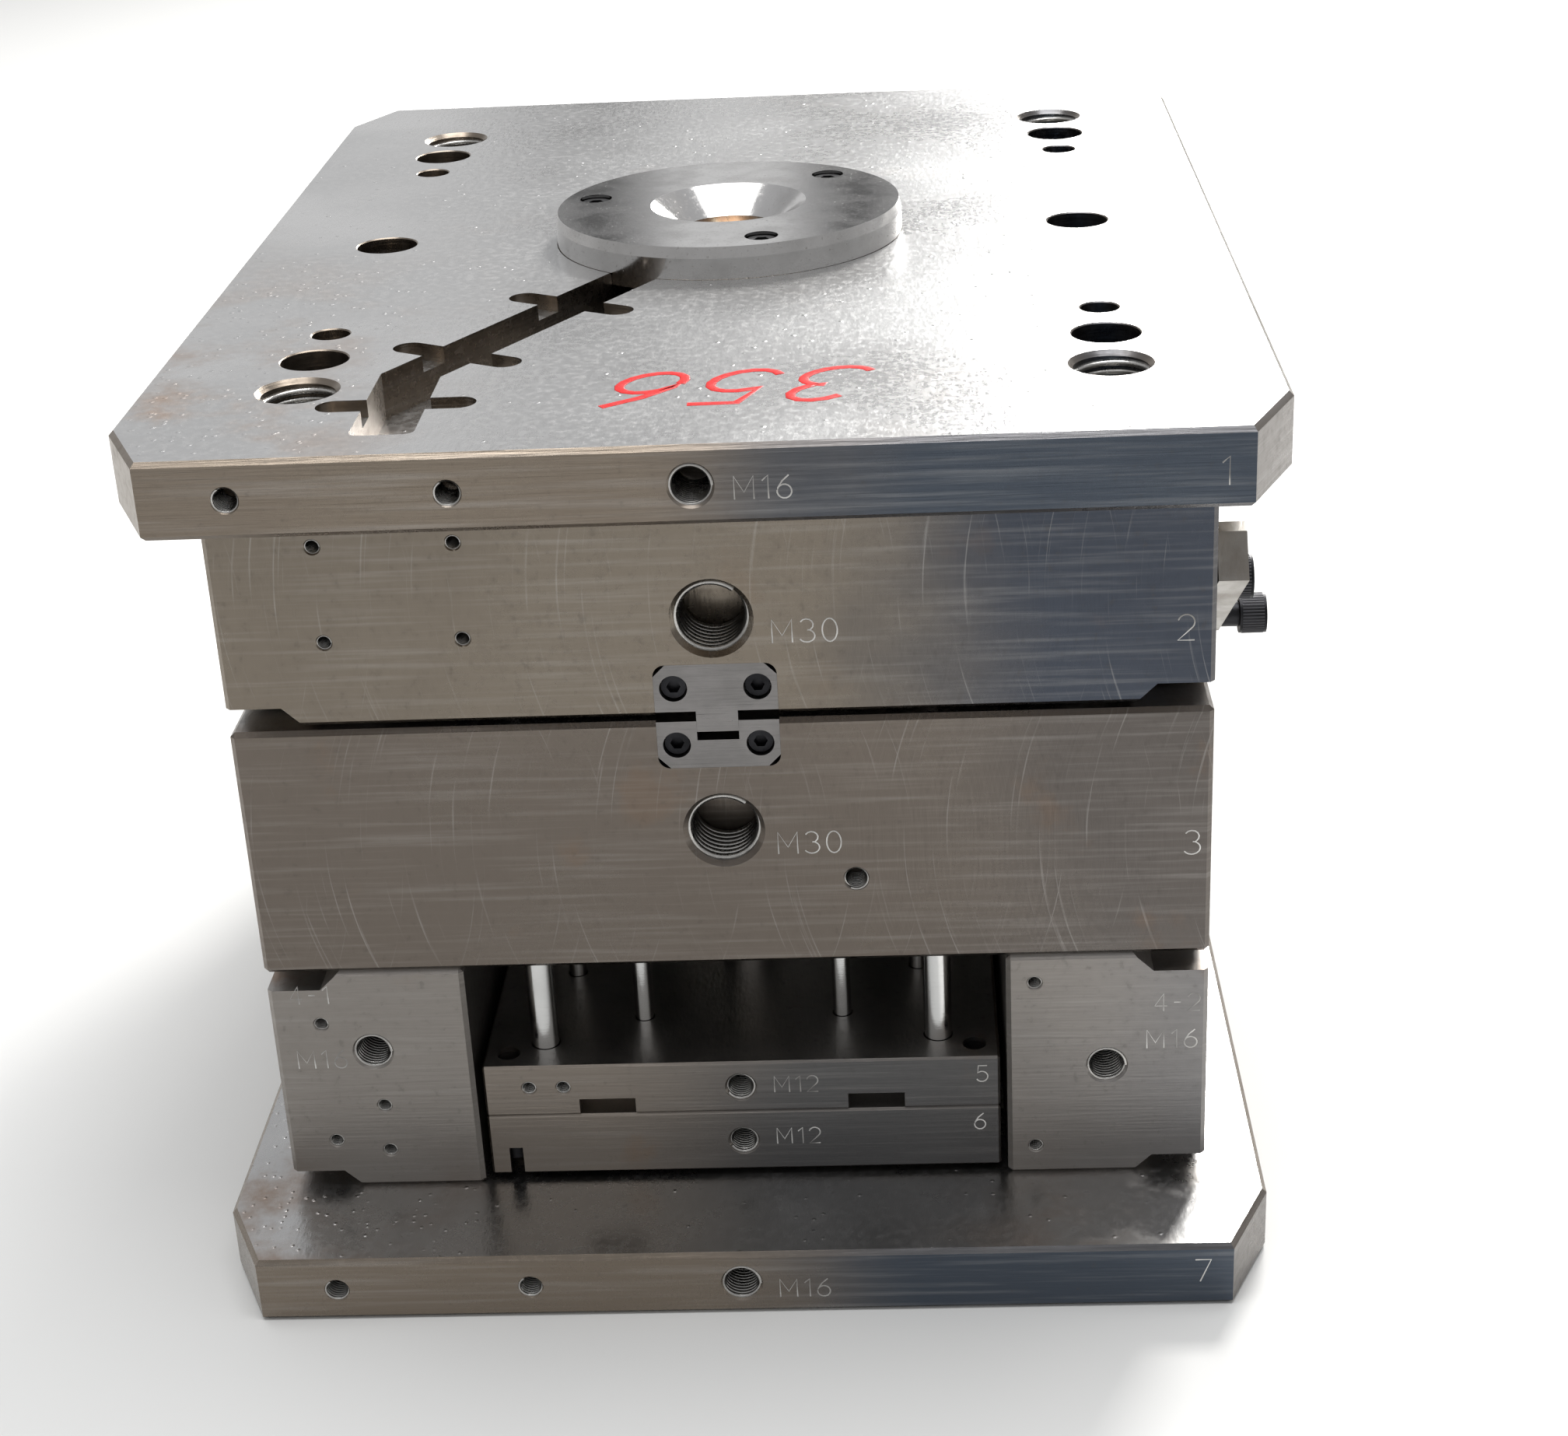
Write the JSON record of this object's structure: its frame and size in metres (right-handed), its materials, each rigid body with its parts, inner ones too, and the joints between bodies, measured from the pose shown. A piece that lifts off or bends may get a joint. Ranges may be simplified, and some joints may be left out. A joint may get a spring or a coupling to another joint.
{
  "type": "injection mould base",
  "caption": "Two-plate injection mould base with bevelled steel plates, locating ring, ejector plates between spacer blocks, straight interlocks and a safety strap.",
  "frame": {"origin": "centre of the bottom clamping face, on the axis of the ejector rod hole", "axes": "+Z along the opening direction, +Y along the long side of the plates, +X to the side with the safety strap; the front with the marked lifting holes faces -Y"},
  "size_m": [0.464, 0.6, 0.4029],
  "materials": {
    "plate_steel": "ground, oily, brown stains",
    "cavity_plate_steel": "ground",
    "core_plate_steel": "ground, fine scratches",
    "spacer_steel": "milled",
    "ejector_steel": "milled, oiled",
    "insert_steel": "fine ground",
    "ring_steel": "turned",
    "turned_steel": "turned",
    "sprue_steel": "heat tinted",
    "lock_steel": "ground",
    "strap_steel": "bright drawn",
    "hardened_pin": "polished",
    "bronze": "turned",
    "black_screw": "black oxide"
  },
  "bodies": {
    "moving_half": {"bottom_clamp_plate": "plate_steel", "spacer_block_left": "spacer_steel", "spacer_block_right": "spacer_steel", "core_plate": "core_plate_steel", "core_insert": "insert_steel", "core_insert_screws": "black_screw", "leader_pins": "hardened_pin", "support_pillars": "turned_steel", "pillar_screws": "black_screw", "ejector_guide_pins": "hardened_pin", "stop_buttons": "turned_steel", "bottom_clamp_screws": "black_screw", "bottom_dowels": "hardened_pin", "interlock_lower_front": "lock_steel", "interlock_lower_back": "lock_steel", "interlock_lower_screws": "black_screw", "parked_transport_screw": "black_screw"},
    "fixed_half": {"cavity_plate": "cavity_plate_steel", "cavity_insert": "insert_steel", "cavity_insert_screws": "black_screw", "leader_bushes": "turned_steel", "top_clamp_plate": "plate_steel", "locating_ring": "ring_steel", "locating_ring_screws": "black_screw", "hot_sprue": "sprue_steel", "top_clamp_screws": "black_screw", "top_dowels": "hardened_pin", "interlock_upper_front": "lock_steel", "interlock_upper_back": "lock_steel", "interlock_upper_screws": "black_screw", "strap_pivot_screw": "black_screw", "strap_washer": "turned_steel"},
    "ejector_set": {"ejector_retainer_plate": "ejector_steel", "ejector_base_plate": "ejector_steel", "return_pins": "hardened_pin", "ejector_pins": "hardened_pin", "ejector_guide_bushes": "bronze", "ejector_plate_screws": "black_screw"},
    "strap": {"safety_strap": "strap_steel"}
  },
  "joints": [
    {"name": "mould_opening", "type": "slide", "parent": "moving_half", "child": "fixed_half", "axis": [0, 0, 1], "range_m": [0, 0.2]},
    {"name": "ejector_stroke", "type": "slide", "parent": "moving_half", "child": "ejector_set", "axis": [0, 0, 1], "range_m": [0, 0.04]},
    {"name": "strap_swivel", "type": "hinge", "parent": "fixed_half", "child": "strap", "pos_m": [0.2, -0.186, 0.284], "axis": [1, 0, 0], "range_deg": [-57, 33]}
  ],
  "couplings": [
    {"joint": "ejector_stroke", "follows": "mould_opening", "ratio": 0.2}
  ]
}
